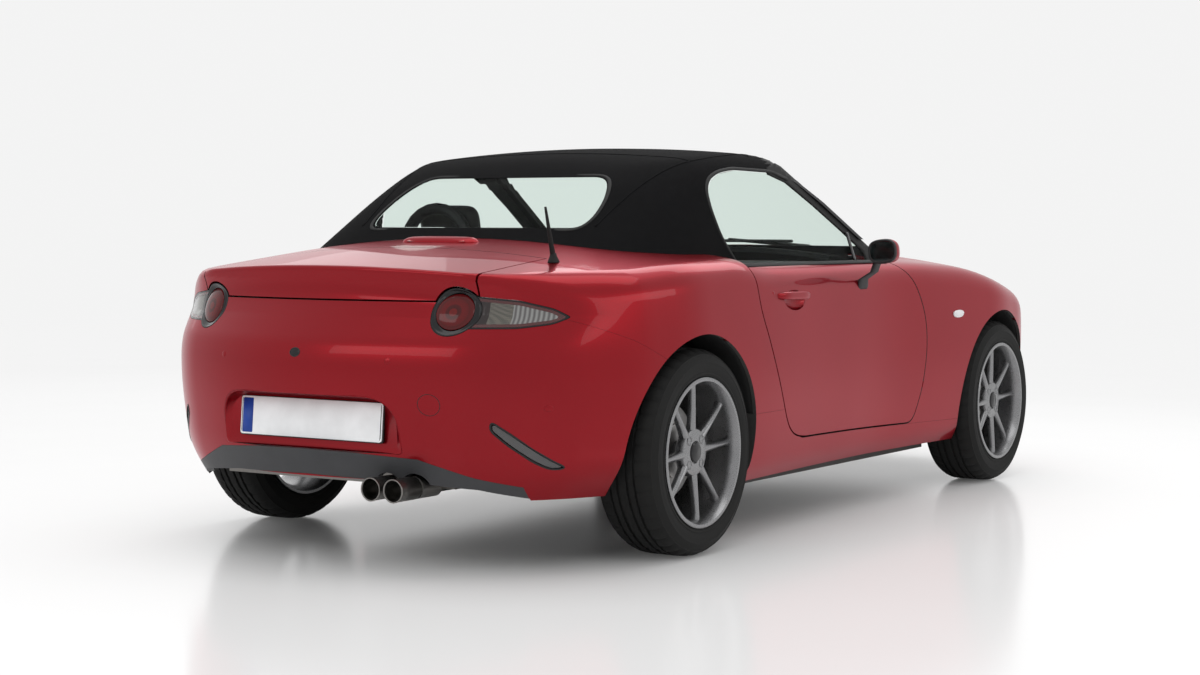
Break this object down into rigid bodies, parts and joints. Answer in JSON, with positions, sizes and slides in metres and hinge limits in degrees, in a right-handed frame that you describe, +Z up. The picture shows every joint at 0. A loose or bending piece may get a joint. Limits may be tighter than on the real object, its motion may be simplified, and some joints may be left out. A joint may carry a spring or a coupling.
{
  "type": "convertible car",
  "caption": "Small two-seat convertible car with its fabric top closed: doors, bonnet and boot lid open, front wheels steer and all wheels turn.",
  "frame": {"origin": "middle of the car's footprint, on the ground under the tyres", "axes": "+X to the front of the car, +Y to its left, +Z up"},
  "size_m": [3.9117, 1.916, 1.2382],
  "materials": {
    "paint": "deep metallic gloss",
    "underbody": "satin",
    "cast": "rough cast",
    "steel": "brushed",
    "trim": "fine grain",
    "cabin": "soft grain",
    "clear_lens": "clear",
    "red_lens": "gloss",
    "plate": "blank white",
    "glazing": "clear, light green tint",
    "canvas": "woven",
    "upholstery": "grained",
    "wheel": "satin dark lacquer",
    "tyre": "matte"
  },
  "bodies": {
    "body_shell": {"floor_pan": "underbody", "front_subframe": "underbody", "rear_subframe": "underbody", "drivetrain": "cast", "exhaust": "steel", "front_fenders": "paint", "rear_quarters": "paint", "sills": "paint", "front_bumper": "paint", "rear_bumper": "paint", "rear_valance": "trim", "grille": "trim", "headlamps": "clear_lens", "tail_lamps": "red_lens", "marker_lamps": "clear_lens", "number_plate": "plate", "windscreen_frame": "trim", "windscreen": "glazing", "wipers": "trim", "soft_top": "canvas", "rear_window": "glazing", "seats": "upholstery", "roll_hoops": "trim", "dashboard": "cabin", "antenna": "trim"},
    "door_left": {"door_left": "paint", "door_glass_left": "glazing", "mirror_left": "paint"},
    "door_right": {"door_right": "paint", "door_glass_right": "glazing", "mirror_right": "paint"},
    "bonnet": {"bonnet": "paint"},
    "boot_lid": {"boot_lid": "paint"},
    "steering_wheel": {"steering_wheel": "trim"},
    "steering_rack": {"steering_rack": "steel"},
    "knuckle_left": {"knuckle_left": "cast"},
    "knuckle_right": {"knuckle_right": "cast"},
    "wheel_front_left": {"rim_front_left": "wheel", "tyre_front_left": "tyre"},
    "wheel_front_right": {"rim_front_right": "wheel", "tyre_front_right": "tyre"},
    "wheel_rear_left": {"rim_rear_left": "wheel", "tyre_rear_left": "tyre"},
    "wheel_rear_right": {"rim_rear_right": "wheel", "tyre_rear_right": "tyre"}
  },
  "joints": [
    {"name": "steer_left", "type": "hinge", "parent": "body_shell", "child": "knuckle_left", "pos_m": [1.1975, 0.6875, 0.308], "axis": [0, 0, 1], "range_deg": [-32, 32]},
    {"name": "steer_right", "type": "hinge", "parent": "body_shell", "child": "knuckle_right", "pos_m": [1.1975, -0.6875, 0.308], "axis": [0, 0, 1], "range_deg": [-32, 32]},
    {"name": "rack_slide", "type": "slide", "parent": "body_shell", "child": "steering_rack", "axis": [0, -1, 0], "range_m": [-0.064, 0.064]},
    {"name": "steering_wheel_turn", "type": "hinge", "parent": "body_shell", "child": "steering_wheel", "pos_m": [0.15, 0.365, 0.74], "axis": [-0.9135, 0, 0.4067], "range_deg": [-480, 480]},
    {"name": "door_left_hinge", "type": "hinge", "parent": "body_shell", "child": "door_left", "pos_m": [0.49, 0.824, 0.55], "axis": [0, 0, -1], "range_deg": [0, 65]},
    {"name": "door_right_hinge", "type": "hinge", "parent": "body_shell", "child": "door_right", "pos_m": [0.49, -0.824, 0.55], "axis": [0, 0, 1], "range_deg": [0, 65]},
    {"name": "bonnet_hinge", "type": "hinge", "parent": "body_shell", "child": "bonnet", "pos_m": [0.555, 0, 0.866], "axis": [0, -1, 0], "range_deg": [0, 50]},
    {"name": "boot_lid_hinge", "type": "hinge", "parent": "body_shell", "child": "boot_lid", "pos_m": [-1.434, 0, 0.91], "axis": [0, 1, 0], "range_deg": [0, 65]},
    {"name": "wheel_front_left_spin", "type": "hinge", "parent": "knuckle_left", "child": "wheel_front_left", "pos_m": [1.1975, 0.7475, 0.308], "axis": [0, 1, 0], "continuous": true},
    {"name": "wheel_front_right_spin", "type": "hinge", "parent": "knuckle_right", "child": "wheel_front_right", "pos_m": [1.1975, -0.7475, 0.308], "axis": [0, 1, 0], "continuous": true},
    {"name": "wheel_rear_left_spin", "type": "hinge", "parent": "body_shell", "child": "wheel_rear_left", "pos_m": [-1.1125, 0.7525, 0.308], "axis": [0, 1, 0], "continuous": true},
    {"name": "wheel_rear_right_spin", "type": "hinge", "parent": "body_shell", "child": "wheel_rear_right", "pos_m": [-1.1125, -0.7525, 0.308], "axis": [0, 1, 0], "continuous": true}
  ],
  "couplings": [
    {"joint": "steer_right", "follows": "steer_left", "ratio": 1},
    {"joint": "rack_slide", "follows": "steer_left", "m_per_rad": 0.1139},
    {"joint": "steering_wheel_turn", "follows": "steer_left", "ratio": 15}
  ]
}
